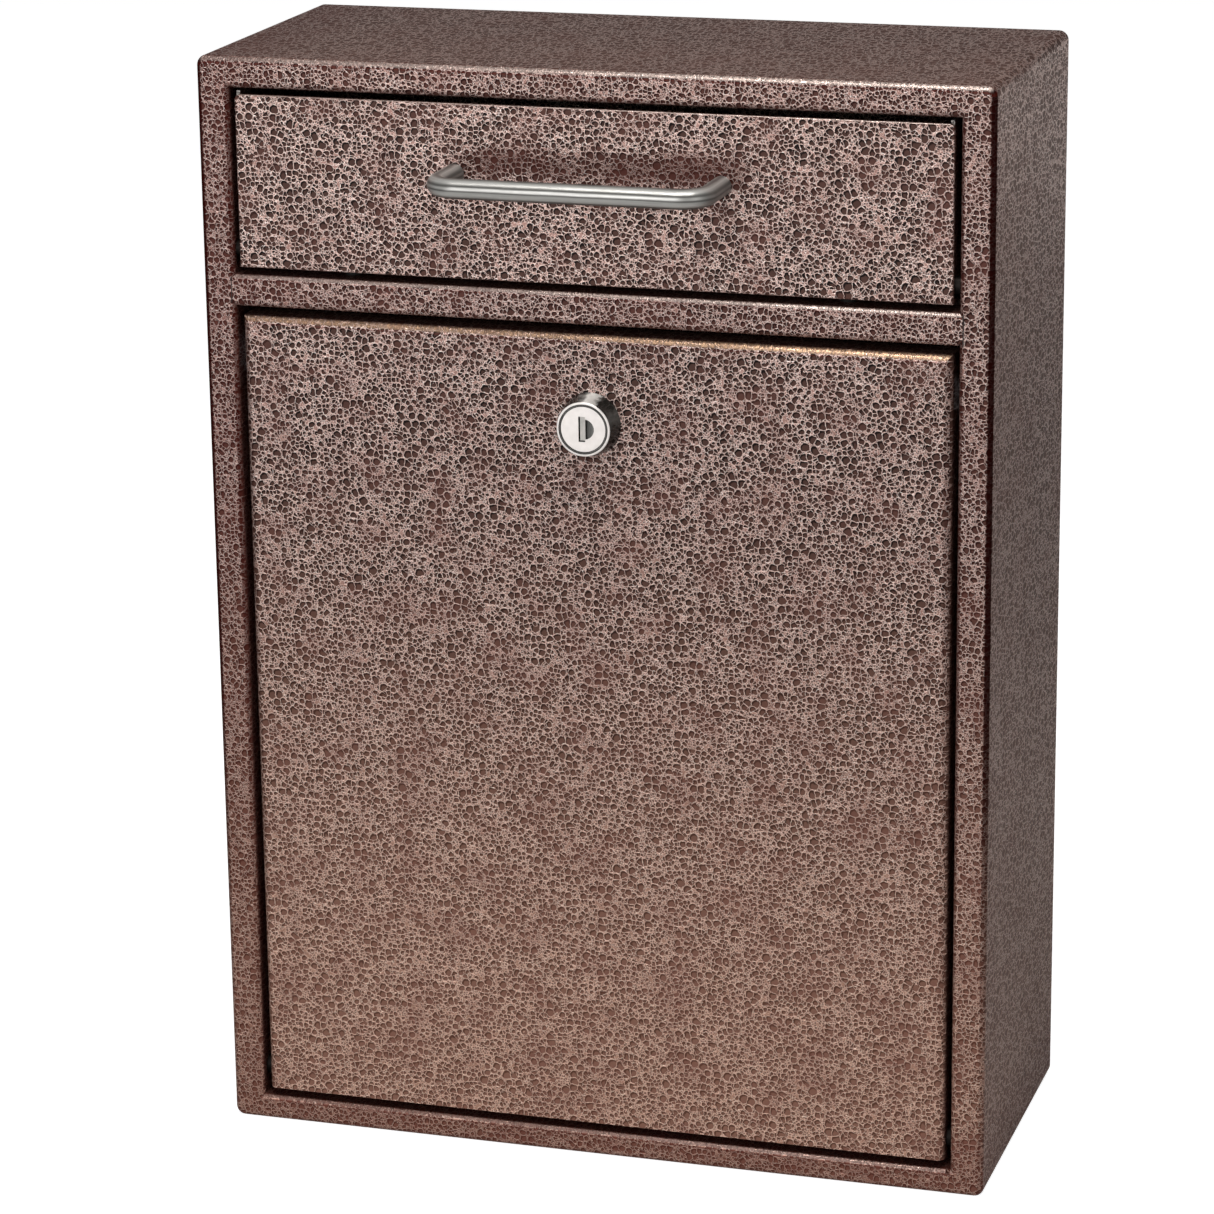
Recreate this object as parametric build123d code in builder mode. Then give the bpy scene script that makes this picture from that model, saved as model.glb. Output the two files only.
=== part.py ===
"""A wall-mounted steel drop box: a tilt-out deposit hopper above a bottom-hinged, locked access door.

Millimetres. +Z is up, the front faces -Y, and +X is to the right seen from the front.
The origin is the middle of the flat base the cabinet stands on.
"""

from build123d import *
from math import atan, cos, degrees, radians, sin, sqrt, tan
import os

# ------------------------------------------------------------------ driving dimensions
WIDTH = 286.0
HEIGHT = 400.0
DEPTH = 121.0
SHEET = 1.5  # cabinet, door and hopper front
THIN_SHEET = 1.2  # parts inside the cabinet

FRONT = -DEPTH / 2
BACK = DEPTH / 2
CORNER_R = 3.5  # folds between the sides and the top and bottom
FACE_FOLD_R = 2.5  # folds between the walls and the face frame
LIP_FOLD_R = 2.0  # folds between the face frame and its return flanges

# Face frame
HALF_OPENING = 131.0
OPENING_TOP = 389.0
OPENING_BOTTOM = 9.5
RETURN_DEPTH = 14.0
RAIL_TOP = 322.5
RAIL_BOTTOM = 311.0
RAIL_DEPTH = 13.3
RAIL_HALF = 132.2  # its coped ends reach over the stiles' folds
RELIEF = 1.6  # square notch at the lower right corner of the opening

# Hopper
PANEL_FACE = FRONT + 0.3  # both doors sit this far behind the frame's face
HALF_PANEL = 128.8
HOPPER_TOP = 386.8
HOPPER_BOTTOM = 325.2
HOPPER_FLANGE_DEPTH = 12.7
HOPPER_CORNER_R = 2.0
HOPPER_PIVOT = (PANEL_FACE + 5.0, HOPPER_BOTTOM + 6.0)  # (y, z)
HOPPER_OPEN = 50.0  # degrees
CHEEK_OUTER = 128.4
CHEEK_R = 56.8
CHEEK_ARC_END = 66.0  # degrees back from vertical
CHUTE_SLOPE = 25.0  # degrees
CHUTE_KINK_Y = -46.5  # where the lip turns down into the slope
CHUTE_BACK_Y = 26.0
CHUTE_LIP_HALF = 124.0
CHUTE_FLANGE = 9.0
CHUTE_FLANGE_FRONT_Y = -38.0
CHEEK_BACK_Y = 24.0

# Access door
DOOR_TOP = 307.7
DOOR_BOTTOM = 12.7
DOOR_FLANGE = 13.6
DOOR_FOLD_R = 3.0
DOOR_PIVOT = (PANEL_FACE + 7.0, DOOR_BOTTOM + 7.0)  # (y, z)

# Pivot hardware
PIN_R = 2.0
PIN_RUNNING_R = 2.06  # hole in the part that turns
PIN_HEAD_R = 3.5
PIN_HEAD = 1.0
PIN_END = 125.8
CLIP_R = 3.2
CLIP_THICKNESS = 0.6
CLIP_MOUTH = 2.4

# Handle
HANDLE_HALF_SPAN = 48.0
HANDLE_Z = 362.3
HANDLE_R = 3.5
HANDLE_STANDOFF = 26.0  # panel face to the bar's centreline
HANDLE_BEND_R = 9.0
SCREW_R = 2.0
HANDLE_SCREW_DEPTH = 12.0

# Cam lock
LOCK_Z = 276.0
LOCK_BASE_R = 11.3
LOCK_RIM_R = 9.7
LOCK_HEAD = 8.2
LOCK_BARREL_R = 9.4
LOCK_BARREL = 14.0
LOCK_FLAT = 8.0  # half the distance across the barrel's two flats
PLUG_FACE_R = 8.35
PLUG_R = 6.45
PLUG_CLEARANCE = 0.08
CAM_LENGTH = 43.0
CAM_WIDTH = 14.0
CAM_THICKNESS = 2.0
TANG = 7.5
STOP_DISC = 0.9
STOP_DISC_R = 9.0
STOP_HUB_R = 7.0
STOP_LUG = 1.6  # width of the lug on the barrel's end that the disc turns against

# Wall fixing
WALL_HOLE_R = 3.5
WALL_SPACING_X = 200.0
WALL_SPACING_Z = 220.0
WALL_CENTRE_Z = 150.0

SIDES = (-1, 1)
LOCK_AXIS = Axis((0, 0, LOCK_Z), (0, 1, 0))
PANEL_BACK = PANEL_FACE + SHEET

os.makedirs("parts", exist_ok=True)


def facing_front(y):
    """The plane at depth y whose normal points to the front; its local axes are X and Z."""
    return Plane.XZ.offset(-y)


def facing_right(x):
    """The plane at x whose normal points to the right; its local axes are Y and Z."""
    return Plane.YZ.offset(x)


def span(side, near, far):
    """The plane at the lower x of a slab between |x| = near and far on one side."""
    return facing_right(near if side > 0 else -far)


def write(part, name):
    part.part.label = name
    export_step(part.part, f"parts/{name}.step")


# ------------------------------------------------------------------ cabinet
with BuildPart() as cabinet_body:
    with BuildSketch(facing_front(BACK)):
        with Locations((0, HEIGHT / 2)):
            RectangleRounded(WIDTH, HEIGHT, CORNER_R)
    extrude(amount=DEPTH)
    fillet(cabinet_body.faces().sort_by(Axis.Y)[0].edges(), FACE_FOLD_R)
    with BuildSketch(facing_front(BACK)):
        with Locations((0, HEIGHT / 2)):
            RectangleRounded(WIDTH - 2 * SHEET, HEIGHT - 2 * SHEET, CORNER_R - SHEET)
    extrude(amount=DEPTH - SHEET, mode=Mode.SUBTRACT)
    opening_height = OPENING_TOP - OPENING_BOTTOM
    opening_middle = (OPENING_TOP + OPENING_BOTTOM) / 2
    with BuildSketch(facing_front(FRONT + RETURN_DEPTH)):
        with Locations((0, opening_middle)):
            Rectangle(2 * (HALF_OPENING + SHEET), opening_height + 2 * SHEET)
    extrude(amount=RETURN_DEPTH - SHEET)
    with BuildSketch(facing_front(FRONT + RETURN_DEPTH)):
        with Locations((0, opening_middle)):
            Rectangle(2 * HALF_OPENING, opening_height)
    extrude(amount=RETURN_DEPTH, mode=Mode.SUBTRACT)
    face_frame = cabinet_body.faces().sort_by(Axis.Y)[0]
    fillet(face_frame.inner_wires()[0].edges(), LIP_FOLD_R)
    with BuildSketch(facing_front(FRONT + SHEET)):
        with Locations((HALF_OPENING, OPENING_BOTTOM)):
            Rectangle(RELIEF, RELIEF, align=(Align.MAX, Align.MAX))
    extrude(amount=SHEET, mode=Mode.SUBTRACT)
    for side in SIDES:
        with BuildSketch(span(side, HALF_OPENING, HALF_OPENING + SHEET)):
            with Locations(HOPPER_PIVOT, DOOR_PIVOT):
                Circle(PIN_R)
        extrude(amount=SHEET, mode=Mode.SUBTRACT)
write(cabinet_body, "cabinet_body")

BACK_GAP = 0.1  # between the back panel's edges and the walls
back_width = WIDTH - 2 * SHEET - 2 * BACK_GAP
back_height = HEIGHT - 2 * SHEET - 2 * BACK_GAP
with BuildPart() as back_panel:
    with BuildSketch(facing_front(BACK)):
        with Locations((0, HEIGHT / 2)):
            RectangleRounded(back_width, back_height, CORNER_R - SHEET)
        with Locations((0, WALL_CENTRE_Z)):
            with GridLocations(WALL_SPACING_X, WALL_SPACING_Z, 2, 2):
                Circle(WALL_HOLE_R, mode=Mode.SUBTRACT)
    extrude(amount=SHEET)
write(back_panel, "back_panel")

# Flat bars that weld the back panel to the walls; their ends stop short of the corner folds
BACK_BAR_DEPTH = 5.0
BACK_BAR_END_GAP = 4.0
with BuildPart() as back_bars:
    with BuildSketch(facing_front(BACK - SHEET)):
        with Locations((0, HEIGHT / 2)):
            with GridLocations(back_width - SHEET, 0, 2, 1):
                Rectangle(SHEET, back_height - 2 * BACK_BAR_END_GAP)
            with GridLocations(0, back_height - SHEET, 1, 2):
                Rectangle(back_width - 2 * BACK_BAR_END_GAP, SHEET)
    extrude(amount=BACK_BAR_DEPTH)
write(back_bars, "back_bars")

RAIL_BACK = FRONT + RAIL_DEPTH
COPE_GAP = 0.15
COPE_CORNER = 2.2  # the lower corners of the coped ends are cut back this far up
with BuildPart() as middle_rail:
    rail_height = RAIL_TOP - RAIL_BOTTOM
    rail_middle = (RAIL_TOP + RAIL_BOTTOM) / 2
    with BuildSketch(facing_right(-RAIL_HALF)):
        with Locations((FRONT + RAIL_DEPTH / 2, rail_middle)):
            outline = Rectangle(RAIL_DEPTH, rail_height)
        fillet(outline.vertices().group_by(Axis.X)[0], LIP_FOLD_R)
        with Locations((FRONT + SHEET + RAIL_DEPTH / 2, rail_middle)):
            Rectangle(RAIL_DEPTH, rail_height - 2 * SHEET, mode=Mode.SUBTRACT)
    extrude(amount=2 * RAIL_HALF)
    # The ends are cut to the stiles: square behind the folds, hollowed in front of them
    fold_y = FRONT + LIP_FOLD_R
    with BuildSketch(Plane.XY.offset(RAIL_BOTTOM)):
        for side in SIDES:
            with Locations((side * (HALF_OPENING + LIP_FOLD_R), fold_y)):
                Circle(LIP_FOLD_R + COPE_GAP)
            with Locations((side * HALF_OPENING, fold_y)):
                Rectangle(
                    LIP_FOLD_R, RAIL_DEPTH, align=(Align.MIN if side > 0 else Align.MAX, Align.MIN)
                )
    extrude(amount=rail_height, mode=Mode.SUBTRACT)
    with BuildSketch(facing_front(BACK)):
        for side in SIDES:
            with BuildLine():
                Polyline(
                    (side * (HALF_OPENING - 0.6), RAIL_BOTTOM),
                    (side * RAIL_HALF, RAIL_BOTTOM),
                    (side * RAIL_HALF, RAIL_BOTTOM + COPE_CORNER),
                    close=True,
                )
            make_face()
    extrude(until=Until.LAST, mode=Mode.SUBTRACT)
write(middle_rail, "middle_rail")

STRIKE_HALF = 32.0
with BuildPart() as lock_strike:
    with BuildSketch(facing_front(RAIL_BACK + SHEET)):
        with Locations((0, (RAIL_TOP + RAIL_BOTTOM) / 2)):
            RectangleRounded(2 * STRIKE_HALF, RAIL_TOP - RAIL_BOTTOM, 1.0)
    extrude(amount=SHEET)
write(lock_strike, "lock_strike")

BAFFLE_Y = 36.0
BAFFLE_BOTTOM = 371.0
BAFFLE_FOOT = 15.0
BAFFLE_HALF = 139.0
with BuildPart() as baffle:
    ceiling = HEIGHT - SHEET
    with BuildSketch(facing_right(-BAFFLE_HALF)):
        with BuildLine():
            Polyline(
                (BAFFLE_Y, BAFFLE_BOTTOM),
                (BAFFLE_Y, ceiling),
                (BAFFLE_Y + BAFFLE_FOOT, ceiling),
                (BAFFLE_Y + BAFFLE_FOOT, ceiling - THIN_SHEET),
                (BAFFLE_Y + THIN_SHEET, ceiling - THIN_SHEET),
                (BAFFLE_Y + THIN_SHEET, BAFFLE_BOTTOM),
                close=True,
            )
        make_face()
    extrude(amount=2 * BAFFLE_HALF)
    fillet(baffle.edges().filter_by(Axis.X).group_by(Axis.Z)[-1].sort_by(Axis.Y)[0], 1.6)
write(baffle, "baffle")

# Tabs behind the door's side flanges, welded to the outside of the return flanges
DOOR_STOP_Z = 285.0
DOOR_STOP_HEIGHT = 12.0
DOOR_STOP_INNER = 124.0
for side, name in zip(SIDES, ("door_stop_left", "door_stop_right")):
    with BuildPart() as door_stop:
        outer = HALF_OPENING + SHEET
        back_edge = FRONT + RETURN_DEPTH
        with BuildSketch(Plane.XY.offset(DOOR_STOP_Z)):
            with BuildLine():
                Polyline(
                    (side * outer, back_edge - 8),
                    (side * outer, back_edge),
                    (side * DOOR_STOP_INNER, back_edge),
                    (side * DOOR_STOP_INNER, back_edge + THIN_SHEET),
                    (side * (outer + THIN_SHEET), back_edge + THIN_SHEET),
                    (side * (outer + THIN_SHEET), back_edge - 8),
                    close=True,
                )
            make_face()
        extrude(amount=DOOR_STOP_HEIGHT)
    write(door_stop, name)

BUMPER_R = 3.0
BUMPER_HEIGHT = 2.6
BUMPER_Y = -49.3
BUMPER_X = 90.0
with BuildPart() as rail_bumpers:
    with BuildSketch(Plane.XY.offset(RAIL_TOP)):
        with Locations(*((side * BUMPER_X, BUMPER_Y) for side in SIDES)):
            Circle(BUMPER_R)
    extrude(amount=BUMPER_HEIGHT)
    fillet(rail_bumpers.edges().group_by(Axis.Z)[-1], 0.8)
write(rail_bumpers, "rail_bumpers")


# ------------------------------------------------------------------ pivot hardware
def pivot_pin(side, pivot, name):
    """A headed pin held in the return flange; the door or the hopper turns on its inner end."""
    with BuildPart() as pin:
        head_face = HALF_OPENING + SHEET
        with BuildSketch(span(side, PIN_END, head_face)):
            with Locations(pivot):
                Circle(PIN_R)
        extrude(amount=head_face - PIN_END)
        with BuildSketch(span(side, head_face, head_face + PIN_HEAD)):
            with Locations(pivot):
                Circle(PIN_HEAD_R)
        extrude(amount=PIN_HEAD)
        chamfer(pin.faces().sort_by(Axis.X)[0 if side > 0 else -1].edges(), 0.3)
    write(pin, name)


for pivot, owner in ((HOPPER_PIVOT, "hopper"), (DOOR_PIVOT, "door")):
    for side, hand in zip(SIDES, ("left", "right")):
        pivot_pin(side, pivot, f"{owner}_pin_{hand}")

with BuildPart() as retaining_clips:
    for pivot, inner_face in ((HOPPER_PIVOT, CHEEK_OUTER - THIN_SHEET), (DOOR_PIVOT, HALF_PANEL - SHEET)):
        clip_outer = inner_face - 0.2
        for side in SIDES:
            with BuildSketch(span(side, clip_outer - CLIP_THICKNESS, clip_outer)):
                with Locations(pivot):
                    Circle(CLIP_R)
                    Circle(PIN_R, mode=Mode.SUBTRACT)
                with Locations((pivot[0] + CLIP_R / 2, pivot[1])):
                    Rectangle(CLIP_R * 2, CLIP_MOUTH, align=(Align.MIN, Align.CENTER), mode=Mode.SUBTRACT)
            extrude(amount=CLIP_THICKNESS)
write(retaining_clips, "retaining_clips")

WASHER_GAP = 0.1
with BuildPart() as spacer_washers:
    for pivot, moving_face, washer_r in ((HOPPER_PIVOT, CHEEK_OUTER, 3.3), (DOOR_PIVOT, HALF_PANEL, 3.9)):
        near, far = moving_face + WASHER_GAP, HALF_OPENING - WASHER_GAP
        for side in SIDES:
            with BuildSketch(span(side, near, far)):
                with Locations(pivot):
                    Circle(washer_r)
                    Circle(PIN_R, mode=Mode.SUBTRACT)
            extrude(amount=far - near)
write(spacer_washers, "spacer_washers")

# ------------------------------------------------------------------ hopper
with BuildPart() as hopper_front:
    with BuildSketch(facing_right(-HALF_PANEL)):
        with BuildLine():
            Polyline(
                (PANEL_FACE, HOPPER_TOP),
                (PANEL_BACK, HOPPER_TOP),
                (PANEL_BACK, HOPPER_BOTTOM + SHEET),
                (PANEL_FACE + HOPPER_FLANGE_DEPTH, HOPPER_BOTTOM + SHEET),
                (PANEL_FACE + HOPPER_FLANGE_DEPTH, HOPPER_BOTTOM),
                (PANEL_FACE, HOPPER_BOTTOM),
                close=True,
            )
        make_face()
    extrude(amount=2 * HALF_PANEL)
    fillet(hopper_front.edges().filter_by(Axis.Y).group_by(Axis.Z)[-1], HOPPER_CORNER_R)
    fillet(hopper_front.faces().sort_by(Axis.Y)[0].edges(), 0.5)
    with BuildSketch(facing_front(PANEL_BACK)):
        with Locations(*((side * HANDLE_HALF_SPAN, HANDLE_Z) for side in SIDES)):
            Circle(SCREW_R + 0.25)
    extrude(amount=SHEET, mode=Mode.SUBTRACT)
write(hopper_front, "hopper_front")

pivot_y, pivot_z = HOPPER_PIVOT
chute_top_z = HOPPER_BOTTOM + SHEET + THIN_SHEET
slope = tan(radians(CHUTE_SLOPE))


def chute_surface(y):
    """Height of the chute's upper face at depth y, on its sloping part."""
    return chute_top_z - (y - CHUTE_KINK_Y) * slope


def hopper_polar(radius, angle):
    """A point in the side view, at an angle measured back from straight up about the pivot."""
    return (pivot_y + radius * sin(radians(angle)), pivot_z + radius * cos(radians(angle)))


EAR_INNER_R = 44.0
EAR_OUTER_R = 54.0
EAR_REACH = 134.0
EAR_CLEARANCE = 0.3
# Angle at which the ear's leading face meets the back edge of the return flange with the hopper open
ear_contact = degrees(atan((FRONT + RETURN_DEPTH + EAR_CLEARANCE - pivot_y) / sqrt(
    EAR_INNER_R**2 - (FRONT + RETURN_DEPTH + EAR_CLEARANCE - pivot_y) ** 2)))
EAR_ANGLE = HOPPER_OPEN + ear_contact
RIVET_R = 1.6
RIVET_HEAD_R = 3.0
RIVET_HEAD = 0.9
RIVET_YS = (-31.0, -6.0, 17.0)
rivet_points = [(y, chute_surface(y) - THIN_SHEET - CHUTE_FLANGE / 2) for y in RIVET_YS]
CHEEK_LIP = 9.0  # width of the flange welded to the back of the front panel
CHEEK_LIP_BOTTOM = 336.0
CHEEK_LIP_TOP = 384.0

for side, name in zip(SIDES, ("hopper_cheek_left", "hopper_cheek_right")):
    with BuildPart() as cheek:
        cheek_inner = CHEEK_OUTER - THIN_SHEET
        arc_start = degrees(atan((PANEL_BACK - pivot_y) / sqrt(CHEEK_R**2 - (PANEL_BACK - pivot_y) ** 2)))
        with BuildSketch(span(side, cheek_inner, CHEEK_OUTER)):
            with BuildLine():
                Line((PANEL_BACK, HOPPER_BOTTOM + SHEET), hopper_polar(CHEEK_R, arc_start))
                ThreePointArc(
                    hopper_polar(CHEEK_R, arc_start),
                    hopper_polar(CHEEK_R, (arc_start + CHEEK_ARC_END) / 2),
                    hopper_polar(CHEEK_R, CHEEK_ARC_END),
                )
                Polyline(
                    hopper_polar(CHEEK_R, CHEEK_ARC_END),
                    (CHEEK_BACK_Y, chute_surface(CHEEK_BACK_Y) + 4),
                    (CHEEK_BACK_Y, chute_surface(CHEEK_BACK_Y) - THIN_SHEET - CHUTE_FLANGE),
                    (CHUTE_FLANGE_FRONT_Y, chute_surface(CHUTE_FLANGE_FRONT_Y) - THIN_SHEET - CHUTE_FLANGE),
                    (-44.0, HOPPER_BOTTOM + SHEET),
                    (PANEL_BACK, HOPPER_BOTTOM + SHEET),
                )
            make_face()
            with Locations(HOPPER_PIVOT):
                Circle(PIN_RUNNING_R, mode=Mode.SUBTRACT)
            with Locations(*rivet_points):
                Circle(RIVET_R, mode=Mode.SUBTRACT)
        extrude(amount=THIN_SHEET)
        # Inward flange on the back of the front panel
        with BuildSketch(span(side, cheek_inner - CHEEK_LIP, cheek_inner)):
            with Locations((PANEL_BACK + THIN_SHEET / 2, (CHEEK_LIP_TOP + CHEEK_LIP_BOTTOM) / 2)):
                Rectangle(THIN_SHEET, CHEEK_LIP_TOP - CHEEK_LIP_BOTTOM)
        extrude(amount=CHEEK_LIP)
        # Outward ear that stops the open hopper against the return flange
        ear_start, ear_tip = hopper_polar(EAR_INNER_R, EAR_ANGLE), hopper_polar(EAR_OUTER_R, EAR_ANGLE)
        across = (THIN_SHEET * cos(radians(EAR_ANGLE)), -THIN_SHEET * sin(radians(EAR_ANGLE)))
        with BuildSketch(span(side, CHEEK_OUTER, EAR_REACH)):
            with BuildLine():
                Polyline(
                    ear_start,
                    ear_tip,
                    (ear_tip[0] + across[0], ear_tip[1] + across[1]),
                    (ear_start[0] + across[0], ear_start[1] + across[1]),
                    close=True,
                )
            make_face()
        extrude(amount=EAR_REACH - CHEEK_OUTER)
    write(cheek, name)

with BuildPart() as hopper_chute:
    thickness_down = THIN_SHEET / cos(radians(CHUTE_SLOPE))
    with BuildSketch(facing_right(-CHUTE_LIP_HALF)):
        with BuildLine():
            Polyline(
                (PANEL_BACK, chute_top_z),
                (CHUTE_KINK_Y, chute_top_z),
                (CHUTE_FLANGE_FRONT_Y, chute_surface(CHUTE_FLANGE_FRONT_Y)),
                (CHUTE_FLANGE_FRONT_Y, chute_surface(CHUTE_FLANGE_FRONT_Y) - thickness_down),
                (CHUTE_KINK_Y, chute_top_z - THIN_SHEET),
                (PANEL_BACK, chute_top_z - THIN_SHEET),
                close=True,
            )
        make_face()
    extrude(amount=2 * CHUTE_LIP_HALF)
    chute_half = CHEEK_OUTER - THIN_SHEET
    with BuildSketch(facing_right(-chute_half)):
        with BuildLine():
            Polyline(
                (CHUTE_FLANGE_FRONT_Y, chute_surface(CHUTE_FLANGE_FRONT_Y)),
                (CHUTE_BACK_Y, chute_surface(CHUTE_BACK_Y)),
                (CHUTE_BACK_Y, chute_surface(CHUTE_BACK_Y) - thickness_down),
                (CHUTE_FLANGE_FRONT_Y, chute_surface(CHUTE_FLANGE_FRONT_Y) - thickness_down),
                close=True,
            )
        make_face()
    extrude(amount=2 * chute_half)
    for side in SIDES:
        with BuildSketch(span(side, chute_half - THIN_SHEET, chute_half)):
            with BuildLine():
                Polyline(
                    (CHUTE_FLANGE_FRONT_Y, chute_surface(CHUTE_FLANGE_FRONT_Y) - THIN_SHEET),
                    (CHEEK_BACK_Y, chute_surface(CHEEK_BACK_Y) - THIN_SHEET),
                    (CHEEK_BACK_Y, chute_surface(CHEEK_BACK_Y) - THIN_SHEET - CHUTE_FLANGE),
                    (CHUTE_FLANGE_FRONT_Y, chute_surface(CHUTE_FLANGE_FRONT_Y) - THIN_SHEET - CHUTE_FLANGE),
                    close=True,
                )
            make_face()
        extrude(amount=THIN_SHEET)
        with BuildSketch(span(side, chute_half - THIN_SHEET, chute_half)):
            with Locations(*rivet_points):
                Circle(RIVET_R)
        extrude(amount=THIN_SHEET, mode=Mode.SUBTRACT)
write(hopper_chute, "hopper_chute")

with BuildPart() as chute_rivets:
    for side in SIDES:
        grip_inner = chute_half - THIN_SHEET
        slabs = (
            (CHEEK_OUTER, CHEEK_OUTER + RIVET_HEAD, RIVET_HEAD_R),
            (grip_inner, CHEEK_OUTER, RIVET_R),
            (grip_inner - RIVET_HEAD, grip_inner, RIVET_HEAD_R - 0.6),
        )
        for near, far, radius in slabs:
            with BuildSketch(span(side, near, far)):
                with Locations(*rivet_points):
                    Circle(radius)
            extrude(amount=far - near)
write(chute_rivets, "chute_rivets")

# ------------------------------------------------------------------ handle
with BuildPart() as handle:
    bar_y = PANEL_FACE - HANDLE_STANDOFF
    with BuildLine(Plane.XY.offset(HANDLE_Z)) as handle_path:
        FilletPolyline(
            (-HANDLE_HALF_SPAN, PANEL_FACE),
            (-HANDLE_HALF_SPAN, bar_y),
            (HANDLE_HALF_SPAN, bar_y),
            (HANDLE_HALF_SPAN, PANEL_FACE),
            radius=HANDLE_BEND_R,
        )
    with BuildSketch(Plane(origin=(-HANDLE_HALF_SPAN, PANEL_FACE, HANDLE_Z), z_dir=(0, -1, 0))):
        Circle(HANDLE_R)
    sweep(path=handle_path.line)
    chamfer(handle.edges().group_by(Axis.Y)[-1], 0.4)
    with BuildSketch(facing_front(PANEL_FACE)):
        with Locations(*((side * HANDLE_HALF_SPAN, HANDLE_Z) for side in SIDES)):
            Circle(SCREW_R)
    extrude(amount=HANDLE_SCREW_DEPTH, mode=Mode.SUBTRACT)
write(handle, "handle")

SCREW_HEAD_R = 4.0
SCREW_HEAD = 2.4
with BuildPart() as handle_screws:
    screw_points = [(side * HANDLE_HALF_SPAN, HANDLE_Z) for side in SIDES]
    with BuildSketch(facing_front(PANEL_BACK + SCREW_HEAD)):
        with Locations(*screw_points):
            Circle(SCREW_HEAD_R)
    extrude(amount=SCREW_HEAD)
    fillet(handle_screws.edges().group_by(Axis.Y)[-1], 0.9)
    with BuildSketch(facing_front(PANEL_BACK)):
        with Locations(*screw_points):
            Circle(SCREW_R)
    extrude(amount=SHEET + HANDLE_SCREW_DEPTH - 1)
    with BuildSketch(facing_front(PANEL_BACK + SCREW_HEAD)):
        with Locations(*screw_points):
            Rectangle(4.4, 0.9)
            Rectangle(0.9, 4.4)
    extrude(amount=1.3, mode=Mode.SUBTRACT)
write(handle_screws, "handle_screws")

# ------------------------------------------------------------------ access door
with BuildPart() as door_panel:
    door_height = DOOR_TOP - DOOR_BOTTOM
    door_middle = (DOOR_TOP + DOOR_BOTTOM) / 2
    with BuildSketch(facing_front(PANEL_FACE + DOOR_FLANGE)):
        with Locations((0, door_middle)):
            Rectangle(2 * HALF_PANEL, door_height)
    extrude(amount=DOOR_FLANGE)
    folds = door_panel.faces().sort_by(Axis.Y)[0].edges().sort_by(Axis.Z)
    fillet(folds[1:], DOOR_FOLD_R)
    with BuildSketch(facing_front(PANEL_FACE + DOOR_FLANGE)):
        with Locations((0, door_middle)):
            Rectangle(2 * (HALF_PANEL - SHEET), door_height - 2 * SHEET)
    extrude(amount=DOOR_FLANGE - SHEET, mode=Mode.SUBTRACT)
    pan_floor = door_panel.faces().filter_by(Axis.Y).sort_by(Axis.Y)[1]
    fillet(pan_floor.edges().sort_by(Axis.Z)[1:], DOOR_FOLD_R - SHEET)
    for side in SIDES:
        with BuildSketch(span(side, HALF_PANEL - SHEET, HALF_PANEL)):
            with Locations(DOOR_PIVOT):
                Circle(PIN_RUNNING_R)
        extrude(amount=SHEET, mode=Mode.SUBTRACT)
    with BuildSketch(facing_front(PANEL_BACK)):
        with Locations((0, LOCK_Z)):
            Circle(LOCK_BARREL_R + PLUG_CLEARANCE)
            Rectangle(2 * (LOCK_FLAT + PLUG_CLEARANCE), 2 * LOCK_BASE_R, mode=Mode.INTERSECT)
    extrude(amount=SHEET, mode=Mode.SUBTRACT)
write(door_panel, "door_panel")

LOCK_PLATE = 2.0
with BuildPart() as lock_plate:
    with BuildSketch(facing_front(PANEL_BACK + LOCK_PLATE)):
        with Locations((0, LOCK_Z)):
            RectangleRounded(64, 44, 4)
            Circle(LOCK_BARREL_R + PLUG_CLEARANCE, mode=Mode.SUBTRACT)
    extrude(amount=LOCK_PLATE)
write(lock_plate, "lock_plate")

# ------------------------------------------------------------------ cam lock
lock_front = PANEL_FACE - LOCK_HEAD
barrel_back = PANEL_FACE + LOCK_BARREL
PLUG_FACE = 1.9
with BuildPart() as lock_housing:
    with BuildSketch(Plane.YZ):
        with BuildLine():
            Polyline(
                (lock_front, LOCK_Z + PLUG_FACE_R + PLUG_CLEARANCE),
                (lock_front, LOCK_Z + LOCK_RIM_R),
                (PANEL_FACE, LOCK_Z + LOCK_BASE_R),
                (PANEL_FACE, LOCK_Z + LOCK_BARREL_R),
                (barrel_back, LOCK_Z + LOCK_BARREL_R),
                (barrel_back, LOCK_Z + PLUG_R + PLUG_CLEARANCE),
                (lock_front + PLUG_FACE + 2 * PLUG_CLEARANCE, LOCK_Z + PLUG_R + PLUG_CLEARANCE),
                (lock_front + PLUG_FACE + 2 * PLUG_CLEARANCE, LOCK_Z + PLUG_FACE_R + PLUG_CLEARANCE),
                close=True,
            )
        make_face()
    revolve(axis=LOCK_AXIS)
    for side in SIDES:
        with BuildSketch(facing_front(barrel_back)):
            with Locations((side * (LOCK_FLAT + LOCK_BARREL_R / 2), LOCK_Z)):
                Rectangle(LOCK_BARREL_R, 3 * LOCK_BARREL_R)
        extrude(amount=LOCK_BARREL, mode=Mode.SUBTRACT)
    rim = lock_housing.edges().filter_by(GeomType.CIRCLE).group_by(Axis.Y)[0]
    fillet(rim.sort_by(SortBy.RADIUS)[-1], 0.45)
    with BuildSketch(facing_front(barrel_back + STOP_DISC)):
        with Locations((0, LOCK_Z - STOP_HUB_R - 2 * PLUG_CLEARANCE)):
            Rectangle(STOP_LUG, 2.0, align=(Align.CENTER, Align.MAX))
    extrude(amount=STOP_DISC)
write(lock_housing, "lock_housing")

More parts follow.
